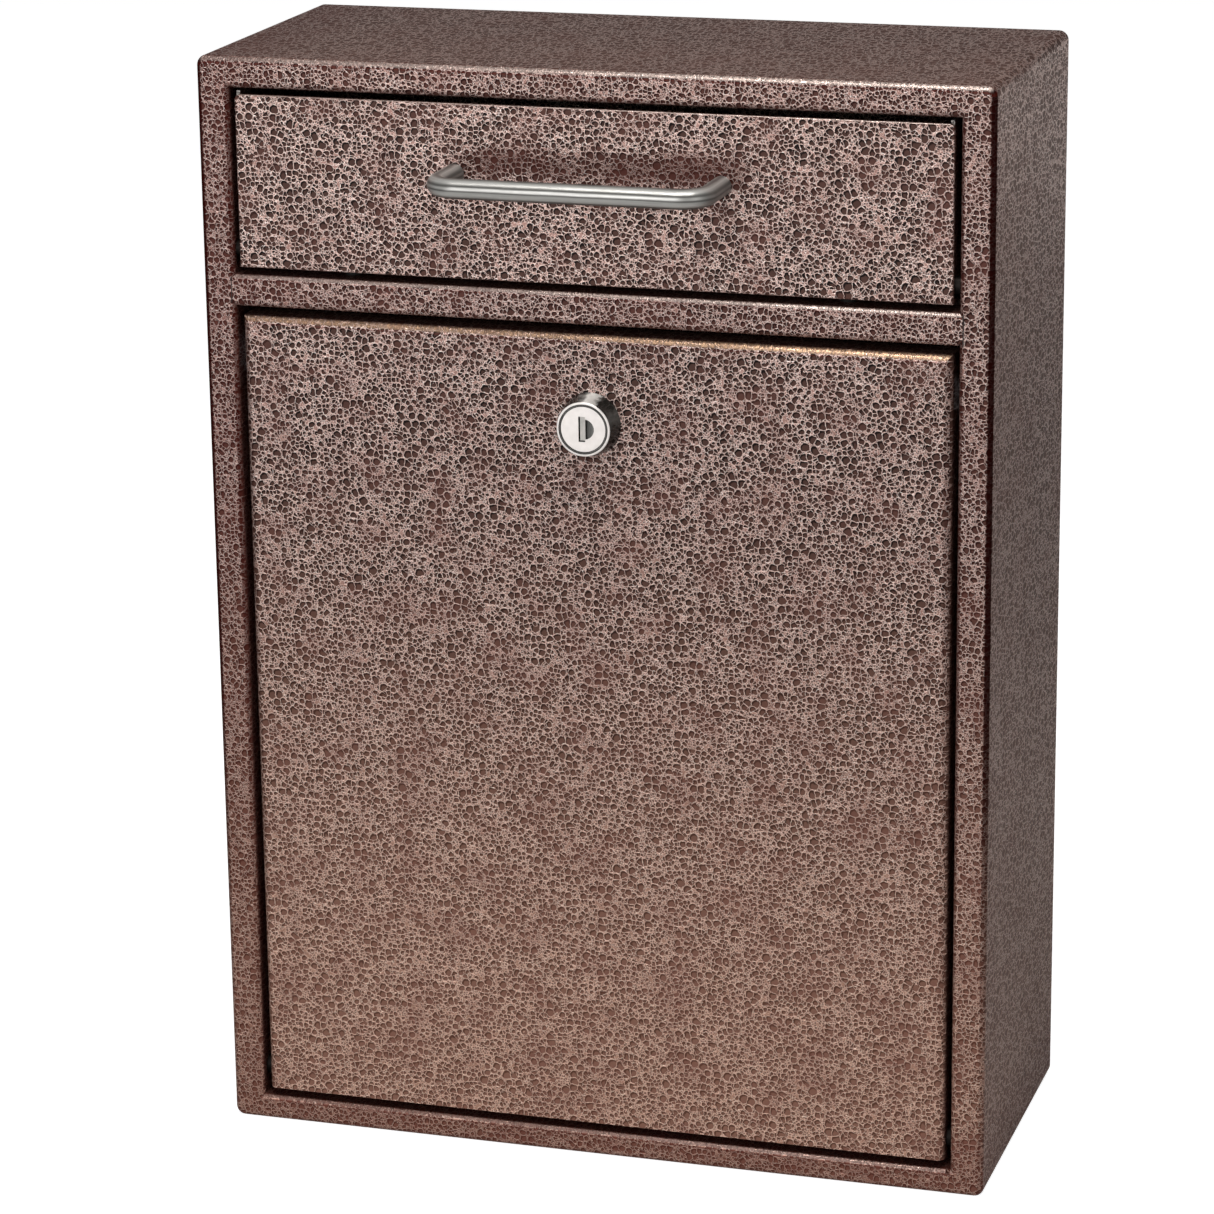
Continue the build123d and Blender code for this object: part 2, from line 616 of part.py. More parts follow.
NUT_ACROSS_FLATS = 24.0
NUT_THICKNESS = 3.5
nut_front = PANEL_BACK + LOCK_PLATE
with BuildPart() as lock_nut:
    with BuildSketch(facing_front(nut_front + NUT_THICKNESS)):
        with Locations((0, LOCK_Z)):
            RegularPolygon(NUT_ACROSS_FLATS / 2, 6, major_radius=False)
            Circle(LOCK_BARREL_R, mode=Mode.SUBTRACT)
    extrude(amount=NUT_THICKNESS)
write(lock_nut, "lock_nut")

plug_back = barrel_back + PLUG_CLEARANCE  # shoulder behind the barrel
cam_front = plug_back + STOP_DISC
cam_back = cam_front + CAM_THICKNESS
tang_back = cam_back - PLUG_CLEARANCE
bolt_depth = 8.0
KEYWAY_X = -0.5
KEYWAY_WIDTH = 2.4
KEYWAY_HEIGHT = 9.0
KEYWAY_RECESS = 0.8
KEY_SLOT = 0.9
SCOOP_R = 3.6
SCOOP_X = 0.3
SCOOP_DEPTH = 1.6
WAFER_PITCH = 2.2
WAFER_COUNT = 5
WAFER_THICKNESS = 0.7
WAFER_FIRST_Y = lock_front + 5.0
WAFER_WIDTH = 4.6
WAFER_HEIGHT = 11.0
wafer_ys = [WAFER_FIRST_Y + i * WAFER_PITCH for i in range(WAFER_COUNT)]
with BuildPart() as lock_plug:
    with BuildSketch(Plane.YZ):
        with BuildLine():
            face_y = lock_front + 0.2
            Polyline(
                (face_y, LOCK_Z),
                (face_y, LOCK_Z + PLUG_FACE_R),
                (lock_front + PLUG_FACE + PLUG_CLEARANCE, LOCK_Z + PLUG_FACE_R),
                (lock_front + PLUG_FACE + PLUG_CLEARANCE, LOCK_Z + PLUG_R),
                (plug_back, LOCK_Z + PLUG_R),
                (plug_back, LOCK_Z),
                close=True,
            )
        make_face()
    revolve(axis=LOCK_AXIS)
    fillet(lock_plug.edges().filter_by(GeomType.CIRCLE).group_by(Axis.Y)[0], 0.3)
    with BuildSketch(facing_front(tang_back)):
        with Locations((0, LOCK_Z)):
            Rectangle(TANG, TANG)
    extrude(amount=tang_back - plug_back)
    with BuildSketch(facing_front(face_y + KEYWAY_RECESS)):
        with Locations((KEYWAY_X, LOCK_Z)):
            Rectangle(KEYWAY_WIDTH, KEYWAY_HEIGHT)
    extrude(amount=KEYWAY_RECESS, mode=Mode.SUBTRACT)
    with BuildSketch(facing_front(face_y + SCOOP_DEPTH)):
        with Locations((SCOOP_X, LOCK_Z)):
            Circle(SCOOP_R)
            Rectangle(2 * SCOOP_R, 2 * SCOOP_R, align=(Align.MAX, Align.CENTER), mode=Mode.SUBTRACT)
    extrude(amount=SCOOP_DEPTH, mode=Mode.SUBTRACT)
    slot_back = wafer_ys[-1] + WAFER_PITCH
    with BuildSketch(facing_front(slot_back)):
        with Locations((KEYWAY_X - (KEYWAY_WIDTH - KEY_SLOT) / 2, LOCK_Z)):
            Rectangle(KEY_SLOT, KEYWAY_HEIGHT - 1.6)
    extrude(amount=slot_back - face_y, mode=Mode.SUBTRACT)
    for wafer_y in wafer_ys:
        with BuildSketch(facing_front(wafer_y + WAFER_THICKNESS + 0.1)):
            with Locations((0, LOCK_Z)):
                Rectangle(WAFER_WIDTH + 0.2, 3 * PLUG_R)
        extrude(amount=WAFER_THICKNESS + 0.2, mode=Mode.SUBTRACT)
    with BuildSketch(facing_front(tang_back)):
        with Locations((0, LOCK_Z)):
            Circle(SCREW_R)
    extrude(amount=bolt_depth, mode=Mode.SUBTRACT)
write(lock_plug, "lock_plug")

with BuildPart() as lock_wafers:
    for wafer_y in wafer_ys:
        with BuildSketch(facing_front(wafer_y + WAFER_THICKNESS)):
            with Locations((0, LOCK_Z)):
                RectangleRounded(WAFER_WIDTH, WAFER_HEIGHT, 0.8)
            with Locations((KEYWAY_X - (KEYWAY_WIDTH - KEY_SLOT) / 2, LOCK_Z)):
                Rectangle(KEY_SLOT + 0.3, KEYWAY_HEIGHT - 3, mode=Mode.SUBTRACT)
        extrude(amount=WAFER_THICKNESS)
write(lock_wafers, "lock_wafers")

# A quarter of the disc's outer ring is missing, so the plug turns 90 degrees between the lug's sides
with BuildPart() as stop_disc:
    notch = STOP_LUG / 2 + PLUG_CLEARANCE
    with BuildSketch(facing_front(cam_front)):
        with Locations((0, LOCK_Z)):
            Circle(STOP_DISC_R)
        with Locations((-notch, LOCK_Z + notch)):
            Rectangle(2 * STOP_DISC_R, 2 * STOP_DISC_R, align=(Align.MIN, Align.MAX), mode=Mode.SUBTRACT)
        with Locations((0, LOCK_Z)):
            Circle(STOP_HUB_R)
            Rectangle(TANG, TANG, mode=Mode.SUBTRACT)
    extrude(amount=STOP_DISC)
write(stop_disc, "stop_disc")

with BuildPart() as lock_cam:
    cam_end_r = CAM_WIDTH / 2
    with BuildSketch(facing_front(cam_back)):
        with Locations((0, LOCK_Z)):
            Circle(cam_end_r + 1)
        with Locations((-(CAM_LENGTH - cam_end_r) / 2, LOCK_Z)):
            Rectangle(CAM_LENGTH - cam_end_r, CAM_WIDTH)
        with Locations((cam_end_r - CAM_LENGTH, LOCK_Z)):
            Circle(cam_end_r)
        with Locations((0, LOCK_Z)):
            Rectangle(TANG, TANG, mode=Mode.SUBTRACT)
    extrude(amount=CAM_THICKNESS)
write(lock_cam, "lock_cam")

CAM_WASHER = 0.8
CAM_WASHER_R = 6.0
with BuildPart() as cam_washer:
    with BuildSketch(facing_front(cam_back + CAM_WASHER)):
        with Locations((0, LOCK_Z)):
            Circle(CAM_WASHER_R)
            Circle(SCREW_R + 0.2, mode=Mode.SUBTRACT)
    extrude(amount=CAM_WASHER)
write(cam_washer, "cam_washer")

BOLT_HEAD_AF = 7.0
BOLT_HEAD = 2.8
with BuildPart() as cam_bolt:
    head_front = cam_back + CAM_WASHER
    with BuildSketch(facing_front(head_front + BOLT_HEAD)):
        with Locations((0, LOCK_Z)):
            RegularPolygon(BOLT_HEAD_AF / 2, 6, major_radius=False)
    extrude(amount=BOLT_HEAD)
    with BuildSketch(facing_front(head_front)):
        with Locations((0, LOCK_Z)):
            Circle(SCREW_R)
    extrude(amount=CAM_WASHER + PLUG_CLEARANCE + bolt_depth - 1)
write(cam_bolt, "cam_bolt")
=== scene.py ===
"""Looks for the wall-mounted drop box: hammertone paint, a wire pull, a nickel cam lock and soft light.

Metres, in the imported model's own frame: +Z up, the front faces -Y, the base's middle is the origin.
"""

import bmesh
import bpy
import math
from mathutils import Matrix, Vector


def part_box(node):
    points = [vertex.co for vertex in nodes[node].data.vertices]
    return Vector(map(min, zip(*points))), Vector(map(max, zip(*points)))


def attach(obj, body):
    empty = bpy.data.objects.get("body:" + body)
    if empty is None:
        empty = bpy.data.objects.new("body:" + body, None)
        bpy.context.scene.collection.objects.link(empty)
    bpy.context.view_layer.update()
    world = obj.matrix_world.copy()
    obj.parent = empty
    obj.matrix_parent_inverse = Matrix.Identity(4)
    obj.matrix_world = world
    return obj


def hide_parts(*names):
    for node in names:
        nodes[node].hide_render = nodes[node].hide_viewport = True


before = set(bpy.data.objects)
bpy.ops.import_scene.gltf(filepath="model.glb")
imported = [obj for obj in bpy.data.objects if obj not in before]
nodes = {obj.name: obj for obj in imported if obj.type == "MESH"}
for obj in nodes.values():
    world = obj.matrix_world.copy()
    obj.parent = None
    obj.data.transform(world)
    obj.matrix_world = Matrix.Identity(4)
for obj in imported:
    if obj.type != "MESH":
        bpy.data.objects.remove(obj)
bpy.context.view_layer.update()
scene = bpy.context.scene
MM = 0.001
UP = Vector((0.0, 0.0, 1.0))

# ------------------------------------------------------------------ camera
CAMERA_AT = Vector((0.4442, -1.4777, 0.6485))
AIM_AT = Vector((0.0055, -0.0605, 0.2100))
CAMERA_ROLL = math.radians(-0.70)
LENS_MM = 130.2

camera_data = bpy.data.cameras.new("camera")
camera_data.lens = LENS_MM
camera_data.sensor_width = 36.0
camera_data.clip_start = 0.05
camera_data.clip_end = 60.0
camera = bpy.data.objects.new("camera", camera_data)
camera.location = CAMERA_AT
aim = (AIM_AT - CAMERA_AT).to_track_quat("-Z", "Y").to_matrix()
camera.rotation_euler = (aim @ Matrix.Rotation(CAMERA_ROLL, 3, "Z")).to_euler()
scene.collection.objects.link(camera)
scene.camera = camera
scene.view_settings.view_transform = "Standard"


# ------------------------------------------------------------------ node helpers
class Shader:
    """A material or node group under construction, with short calls for the nodes used here."""

    def __init__(self, tree):
        self.tree = tree
        self.links = tree.links

    def node(self, kind, values=None, **settings):
        made = self.tree.nodes.new(kind)
        for key, value in settings.items():
            setattr(made, key, value)
        for key, value in (values or {}).items():
            self.feed(made.inputs[key], value)
        return made

    def feed(self, socket, value):
        if isinstance(value, bpy.types.NodeSocket):
            self.links.new(value, socket)
        else:
            socket.default_value = value

    def math(self, operation, a, b=0.0, c=0.0):
        made = self.node("ShaderNodeMath", operation=operation)
        for socket, value in zip(made.inputs, (a, b, c)):
            self.feed(socket, value)
        return made.outputs[0]

    def product(self, first, *others):
        for other in others:
            first = self.math("MULTIPLY", first, other)
        return first

    def ramp(self, value, start, end, low=0.0, high=1.0):
        """value eased from low at start to high at end."""
        made = self.node("ShaderNodeMapRange", interpolation_type="SMOOTHSTEP")
        keys = ("Value", "From Min", "From Max", "To Min", "To Max")
        for key, entry in zip(keys, (value, start, end, low, high)):
            self.feed(made.inputs[key], entry)
        return made.outputs["Result"]

    def mix(self, factor, a, b):
        made = self.node("ShaderNodeMix", data_type="RGBA")
        for index, value in ((0, factor), (6, a), (7, b)):
            self.feed(made.inputs[index], value)
        return made.outputs[2]

    def combine(self, x=0.0, y=0.0, z=0.0):
        return self.node("ShaderNodeCombineXYZ", {"X": x, "Y": y, "Z": z}).outputs[0]

    def noise(self, vector, scale, detail=2.0, roughness=0.5):
        values = {"Vector": vector, "Scale": scale, "Detail": detail, "Roughness": roughness}
        return self.node("ShaderNodeTexNoise", values).outputs["Fac"]

    def voronoi(self, vector, scale, feature="F1"):
        values = {"Vector": vector, "Scale": scale}
        return self.node("ShaderNodeTexVoronoi", values, voronoi_dimensions="2D", feature=feature)

    def shifted(self, vector, by):
        return self.node("ShaderNodeVectorMath", {0: vector, 1: by}, operation="ADD").outputs[0]

    def bump(self, height, distance, strength=1.0):
        values = {"Height": height, "Distance": distance, "Strength": strength}
        return self.node("ShaderNodeBump", values).outputs[0]


def rgb(red, green, blue):
    """An 8-bit display colour as a linear one."""
    return tuple(
        (c / 255 / 12.92 if c <= 10 else ((c / 255 + 0.055) / 1.055) ** 2.4) for c in (red, green, blue)
    ) + (1.0,)


def new_material(name):
    """A material with a Principled shader; returns the material, its Shader and the Principled node."""
    material = bpy.data.materials.new(name)
    material.use_nodes = True
    shader = Shader(material.node_tree)
    principled = material.node_tree.nodes["Principled BSDF"]
    return material, shader, principled


DEPTH_STRETCH = 0.48  # the pits run longer from front to back, the way the wet coat crept


def flat_coordinates(shader):
    """Object coordinates laid flat on each face, in metres, with the plain coordinates and the normal."""
    place = shader.node("ShaderNodeTexCoord")
    at = shader.node("ShaderNodeSeparateXYZ", {"Vector": place.outputs["Object"]}).outputs
    facing = shader.node("ShaderNodeSeparateXYZ", {"Vector": place.outputs["Normal"]}).outputs
    side, front, top = (shader.math("ABSOLUTE", facing[i]) for i in range(3))
    is_top = shader.math("GREATER_THAN", top, shader.math("MAXIMUM", side, front))
    is_side = shader.math("GREATER_THAN", side, shader.math("MAXIMUM", top, front))
    deep = shader.math("MULTIPLY", at[1], DEPTH_STRETCH)
    across = shader.node("ShaderNodeMix", {0: is_side, 2: at[0], 3: deep}, data_type="FLOAT").outputs[0]
    up = shader.node("ShaderNodeMix", {0: is_top, 2: at[2], 3: deep}, data_type="FLOAT").outputs[0]
    return shader.combine(across, up), at, facing


# ------------------------------------------------------------------ hammertone paint
# Tones near the foot and from 280 mm up: golden tan below, rosy grey above
LOW_Z = 0.02
HIGH_Z = 0.28
TONES = {
    "vein": (rgb(238, 198, 180), rgb(234, 202, 193)),
    "glint": (rgb(255, 236, 220), rgb(255, 253, 252)),
    "ground": (rgb(178, 136, 117), rgb(146, 112, 103)),
    "wall": (rgb(98, 65, 53), rgb(20, 9, 8)),
    "dark": (rgb(139, 101, 87), rgb(76, 53, 47)),
    "side_light_tone": (rgb(142, 114, 104), rgb(160, 131, 121)),
}
# The openings in the cabinet's front, a trace larger than they are cut
OPENING_HALF = 132.6 * MM
OPENING_SILL = 8.0 * MM
OPENING_TOP = 390.5 * MM
# The middle of the pull's dark reflection, painted on the panel above it
PULL_REFLECTION_X = 6.0 * MM
PULL_REFLECTION_Z = 366.5 * MM
TO_LIGHT = (0.62, -0.78, 0.0)  # a pit's floor is lit on this side of its middle
PIT_EDGE = 0.09 * MM  # half the width over which a pit's edge is blurred
FLOOR_EDGE = 0.42 * MM
CROWDING = 0.8  # how strongly pits gather in some places and thin out in others


def pit_layer(shader, at, crowding, spacing, share, smallest, largest, rim):
    """One layer of cells, a share of which hold a pit: masks of pits, of lit floors, and of pits with rims.

    smallest and largest are the pits' radii over the spacing; spacing and the rim's width are in metres.
    """
    cells = shader.voronoi(at, 1 / spacing)
    borders = shader.voronoi(at, 1 / spacing, feature="DISTANCE_TO_EDGE").outputs["Distance"]
    chance = shader.node("ShaderNodeSeparateColor", {"Color": cells.outputs["Color"]}).outputs
    radius = shader.math("MULTIPLY_ADD", chance[0], largest - smallest, smallest)
    luck = shader.math("MULTIPLY_ADD", crowding, -CROWDING, chance[1])
    filled = shader.math("LESS_THAN", luck, share - 0.5 * CROWDING)
    disc = shader.math("SUBTRACT", radius, cells.outputs["Distance"])
    inside = shader.math("MINIMUM", disc, shader.math("SUBTRACT", borders, 0.5 * rim / spacing))
    soft = PIT_EDGE / spacing
    pit = shader.product(shader.ramp(inside, -soft, soft), filled)
    away = shader.node("ShaderNodeVectorMath", {0: at, 1: cells.outputs["Position"]}, operation="SUBTRACT")
    lit = shader.node("ShaderNodeVectorMath", {0: away.outputs[0], 1: TO_LIGHT}, operation="DOT_PRODUCT")
    lean = shader.math("MULTIPLY_ADD", lit.outputs["Value"], 0.55 / spacing, inside)
    floor = shader.product(shader.ramp(lean, soft, FLOOR_EDGE / spacing), filled)
    area = shader.product(shader.ramp(inside, -(rim / spacing + soft), -0.5 * rim / spacing), filled)
    return pit, floor, area


def hammertone(
    name,
    offset,
    pit_size,
    gain=1.0,
    fold_colour=rgb(255, 238, 230),
    shade_colour=rgb(30, 16, 14),
    fold_dark=(0.3, 0.3),
    cut_edges=False,
    face_frame=False,
    pull_reflection=False,
    folded=True,
):
    """Copper hammertone powder coat: packed round dark pits in a net of thin bright ridges.

    offset slides the pattern, pit_size scales the pits, and gain below 1 shades the coat to shade_colour.
    folded marks sheet with level folds, which get a painted highlight in fold_colour. fold_dark is how dark
    the upright folds are painted, partly thin paint and partly painted shade, outside and inside the
    openings. cut_edges leaves the sheet's side edges bare steel.
    face_frame keeps the flanges' painted shade inside the front's openings, and paints shade on the left
    edge and foot.
    patina paints the pull's dark reflection as a darker patch on the panel above it.
    """
    material, shader, principled = new_material(name)
    flat, at, facing = flat_coordinates(shader)
    across_x, along_front = (shader.math("ABSOLUTE", facing[i]) for i in range(2))
    moved = shader.shifted(flat, (*offset, 0.0))
    wander = shader.node("ShaderNodeTexNoise", {"Vector": moved, "Scale": 800.0, "Detail": 1.0})
    drift = shader.shifted(wander.outputs["Color"], (-0.5,) * 3)
    push = shader.node("ShaderNodeVectorMath", {0: drift, "Scale": 0.9 * MM}, operation="SCALE")
    warped = shader.shifted(moved, push.outputs[0])
    patches = shader.noise(moved, 60.0, 3.0, 0.55)
    crowding = shader.noise(moved, 190.0, 1.0)
    speck = shader.ramp(shader.noise(moved, 1900.0, 1.0), 0.52, 0.68)

    def layer(spacing, *shape):
        return pit_layer(shader, warped, crowding, spacing * pit_size, *shape)

    # Three sizes of pit, the smaller ones only where the larger leave room: spacing, share, radii and rim
    big, big_floor, big_area = layer(3.3 * MM, 0.46, 0.32, 0.62, 0.30 * MM)
    small, small_floor, small_area = layer(2.0 * MM, 0.80, 0.36, 0.66, 0.26 * MM)
    tiny, _, tiny_area = layer(1.1 * MM, 0.92, 0.34, 0.64, 0.22 * MM)
    off_big = shader.math("SUBTRACT", 1.0, big_area)
    off_small = shader.product(off_big, shader.math("SUBTRACT", 1.0, small_area))
    smaller = shader.math("MAXIMUM", shader.product(small, off_big), shader.product(tiny, off_small, 0.75))
    pit = shader.math("MAXIMUM", big, smaller)
    floors = shader.math("MAXIMUM", big_floor, shader.product(small_floor, off_big))
    ridge = shader.math("SUBTRACT", 1.0, pit)
    smaller_area = shader.math(
        "MAXIMUM", shader.product(small_area, off_big), shader.product(tiny_area, off_small)
    )
    rim = shader.product(ridge, shader.math("MAXIMUM", big_area, smaller_area))

    height = shader.ramp(at[2], LOW_Z, HIGH_Z)
    tone = {key: shader.mix(height, low, high) for key, (low, high) in TONES.items()}
    colour = shader.mix(shader.ramp(speck, 0.0, 1.0, 0.0, 0.6), tone["ground"], tone["vein"])
    # The rims get a painted glint, and each pit is painted in shade on its wall away from TO_LIGHT
    colour = shader.mix(shader.product(rim, 0.9), colour, shader.mix(speck, tone["vein"], tone["glint"]))
    colour = shader.mix(pit, colour, shader.mix(floors, tone["wall"], tone["dark"]))
    colour = shader.mix(shader.ramp(patches, 0.42, 0.72, 0.0, 0.3), colour, rgb(122, 74, 66))

    # Painted light on the top and the sides: a flatter tone, lightened and warmed near the front, with
    # darker pits
    off_front = shader.ramp(along_front, 0.35, 0.75, 1.0, 0.0)
    side_light_mix = shader.product(off_front, shader.ramp(at[2], 0.0, 0.3, 0.42, 0.22))
    colour = shader.mix(side_light_mix, colour, tone["side_light_tone"])
    front_light_mix = shader.product(off_front, shader.ramp(at[1], -60.0 * MM, 40.0 * MM, 0.24, 0.10))
    colour = shader.mix(front_light_mix, colour, rgb(196, 148, 130))
    colour = shader.mix(shader.product(pit, off_front, 0.42), colour, rgb(30, 20, 18))

    # Upright folds are painted dark: partly paint drawn back from the fold, partly painted shade and dark
    # reflection
    within = 1.0
    if face_frame:
        between_stiles = shader.math("LESS_THAN", shader.math("ABSOLUTE", at[0]), OPENING_HALF)
        below_top = shader.math("LESS_THAN", at[2], OPENING_TOP)
        above_sill = shader.math("GREATER_THAN", at[2], OPENING_SILL)
        within = shader.product(between_stiles, below_top, above_sill)
    upright = shader.ramp(shader.product(across_x, along_front), 0.12, 0.36)
    darkness = shader.math("MULTIPLY_ADD", within, fold_dark[1] - fold_dark[0], fold_dark[0])
    fold_paint_and_shade = shader.product(upright, shader.ramp(at[2], 0.04, 0.20, 0.25, 1.0), darkness)
    colour = shader.mix(fold_paint_and_shade, colour, shader.mix(within, rgb(20, 7, 6), rgb(58, 24, 20)))

    # Painted highlight on the level folds, brightest high up and to the right, over a thin red line
    fold_highlight = 0.0
    if folded:
        level = shader.product(facing[2], along_front)
        red_line = shader.product(shader.ramp(level, 0.02, 0.10), shader.ramp(level, 0.14, 0.26, 0.55, 0.0))
        colour = shader.mix(red_line, colour, rgb(92, 36, 28))
        fold_highlight = shader.product(
            shader.ramp(level, 0.27, 0.44),
            shader.ramp(speck, 0.0, 1.0, 0.5, 1.0),
            shader.ramp(at[0], -120.0 * MM, 90.0 * MM, 0.45, 1.0),
            shader.ramp(at[2], 10.0 * MM, 200.0 * MM, 0.55, 1.0),
        )
        colour = shader.mix(fold_highlight, colour, fold_colour)

    # Painted shade on the flanges, which sit back in the gaps
    flange_shade = shader.product(shader.ramp(along_front, 0.20, 0.55, 0.66, 0.0), within)
    colour = shader.mix(flange_shade, colour, rgb(72, 36, 30))
    if pull_reflection:
        # Painted reflection of the pull: a darker patch on the panel above it
        above_pull = shader.math("ABSOLUTE", shader.math("SUBTRACT", at[2], PULL_REFLECTION_Z))
        beside_pull = shader.math("ABSOLUTE", shader.math("SUBTRACT", at[0], PULL_REFLECTION_X))
        reflected_pull = shader.product(
            shader.ramp(above_pull, 2.0 * MM, 9.0 * MM, 1.0, 0.0),
            shader.ramp(beside_pull, 44.0 * MM, 60.0 * MM, 1.0, 0.0),
            shader.ramp(patches, 0.25, 0.6, 0.3, 0.62),
        )
        colour = shader.mix(reflected_pull, colour, rgb(78, 36, 30))
    if face_frame:
        # Painted shade along the left edge and the foot
        left_edge = shader.ramp(at[0], -132.0 * MM, -104.0 * MM, 0.24, 0.0)
        foot = shader.ramp(at[2], 4.0 * MM, 34.0 * MM, 0.34, 0.0)
        colour = shader.mix(shader.math("MAXIMUM", left_edge, foot), colour, shade_colour)
    colour = shader.mix(1.0 - gain, colour, shade_colour)

    roughness = shader.math("MULTIPLY_ADD", pit, 0.22, shader.math("MULTIPLY_ADD", patches, 0.10, 0.24))
    roughness = shader.math("MULTIPLY_ADD", fold_paint_and_shade, 0.35, roughness)
    roughness = shader.math("MULTIPLY_ADD", fold_highlight, -0.12, roughness)
    sheen = shader.ramp(fold_paint_and_shade, 0.0, 1.0, 0.5, 0.05)
    sheen = shader.product(sheen, shader.math("MULTIPLY_ADD", pit, -0.6, 1.0))
    metallic = shader.math("MULTIPLY_ADD", fold_highlight, 0.35, 0.55)
    if cut_edges:
        edge = shader.math("LESS_THAN", across_x, 0.5)
        colour = shader.mix(edge, colour, rgb(150, 146, 142))
        metallic = shader.math("MAXIMUM", edge, metallic)
    for key, value in {
        "Base Color": colour,
        "Metallic": metallic,
        "Roughness": roughness,
        "Normal": shader.bump(shader.math("MULTIPLY_ADD", floors, -0.4, ridge), 0.26 * MM, 0.9),
        "Specular IOR Level": sheen,
        "Coat Weight": shader.product(sheen, 0.24),
        "Coat Roughness": 0.2,
    }.items():
        shader.feed(principled.inputs[key], value)
    return material


# ------------------------------------------------------------------ metals and rubber
def plated(name, colour, roughness, grain=900.0, grain_depth=0.004 * MM, metallic=1.0):
    """Plated or bare metal with faint mottling and a fine grain."""
    material, shader, principled = new_material(name)
    place = shader.node("ShaderNodeTexCoord").outputs["Object"]
    mottle = shader.noise(place, 180.0, 4.0, 0.6)
    fine = shader.noise(place, grain, 3.0, 0.6)
    dark = tuple(0.72 * c for c in colour[:3]) + (1.0,)
    shader.feed(principled.inputs["Base Color"], shader.mix(shader.ramp(mottle, 0.3, 0.7), dark, colour))
    shader.feed(principled.inputs["Metallic"], metallic)
    shader.feed(principled.inputs["Roughness"], shader.math("MULTIPLY_ADD", fine, 0.16, roughness - 0.08))
    shader.feed(principled.inputs["Normal"], shader.bump(fine, grain_depth))
    return material


def rubber(name):
    """Matt black rubber."""
    material, shader, principled = new_material(name)
    place = shader.node("ShaderNodeTexCoord").outputs["Object"]
    grain = shader.noise(place, 2500.0, 3.0)
    shader.feed(principled.inputs["Base Color"], shader.mix(grain, rgb(22, 22, 22), rgb(40, 39, 38)))
    shader.feed(principled.inputs["Roughness"], shader.ramp(grain, 0.0, 1.0, 0.6, 0.85))
    shader.feed(principled.inputs["Normal"], shader.bump(grain, 0.02 * MM))
    return material


def grey(level):
    """A grey of an 8-bit brightness, a trace warm."""
    return rgb(level, level, level - 2)


def add_stops(shader, factor, stops):
    """A colour ramp through (position, colour) stops."""
    made = shader.node("ShaderNodeValToRGB", {"Fac": factor})
    elements = made.color_ramp.elements
    elements[0].position, elements[0].color = stops[0]
    elements[1].position, elements[1].color = stops[-1]
    for position, colour in stops[1:-1]:
        elements.new(position).color = colour
    return made.outputs[0]


# Painted reflections round the wire, as brightness by its surface normal's height: straight down is -1,
# straight up is +1
WIRE_BANDS = (
    (-1.00, 45), (-0.82, 74), (-0.70, 147), (-0.60, 183), (-0.42, 192), (-0.20, 178), (-0.09, 80),
    (0.00, 128), (0.08, 193), (0.18, 200), (0.27, 175), (0.36, 107), (0.46, 103), (0.56, 159), (0.66, 198),
    (0.78, 206), (0.88, 197), (0.95, 159), (1.00, 93),
)


def drawn_wire(name):
    """Polished stainless wire: painted reflections in bands round it, and streaks along its length, as the
    rounds of polishing left them.
    """
    material, shader, principled = new_material(name)
    place = shader.node("ShaderNodeTexCoord")
    facing = shader.node("ShaderNodeSeparateXYZ", {"Vector": place.outputs["Normal"]}).outputs
    at = shader.node("ShaderNodeSeparateXYZ", {"Vector": place.outputs["Object"]}).outputs
    along = shader.combine(shader.product(at[0], 26.0), at[1], shader.product(at[2], 900.0))
    streak = shader.noise(along, 3.0, 4.0, 0.6)
    slow = shader.noise(place.outputs["Object"], 60.0, 2.0)
    tilt = shader.math("MULTIPLY_ADD", shader.math("SUBTRACT", slow, 0.5), 0.08, facing[2])
    level = shader.math("MULTIPLY_ADD", tilt, 0.5, 0.5)
    # Painted reflections: bands of brightness by the normal's height
    wire_reflections = add_stops(shader, level, [(0.5 + 0.5 * at_z, grey(value)) for at_z, value in WIRE_BANDS])
    turned = shader.ramp(shader.math("ABSOLUTE", facing[0]), 0.45, 0.95, 0.0, 0.6)
    wire_reflections = shader.mix(turned, wire_reflections, grey(104))
    wire_reflections = shader.mix(shader.ramp(streak, 0.35, 0.75, 0.0, 0.3), wire_reflections, grey(120))
    shader.feed(principled.inputs["Base Color"], wire_reflections)
    shader.feed(principled.inputs["Metallic"], 0.55)
    shader.feed(principled.inputs["Roughness"], shader.ramp(streak, 0.0, 1.0, 0.24, 0.42))
    shader.feed(principled.inputs["Normal"], shader.bump(streak, 0.01 * MM))
    return material


LOCK_Z = 276.0 * MM
PLUG_FACE = -68.0 * MM

# Painted reflections round the lock's cone, as brightness by the turn from -X by way of -Z
CONE_BANDS = (
    (0.0, 24), (0.12, 60), (0.30, 40), (0.42, 14), (0.50, 40), (0.56, 92), (0.61, 40), (0.67, 34),
    (0.69, 210), (0.74, 250), (0.765, 130), (0.80, 30), (0.90, 14), (1.0, 24),
)


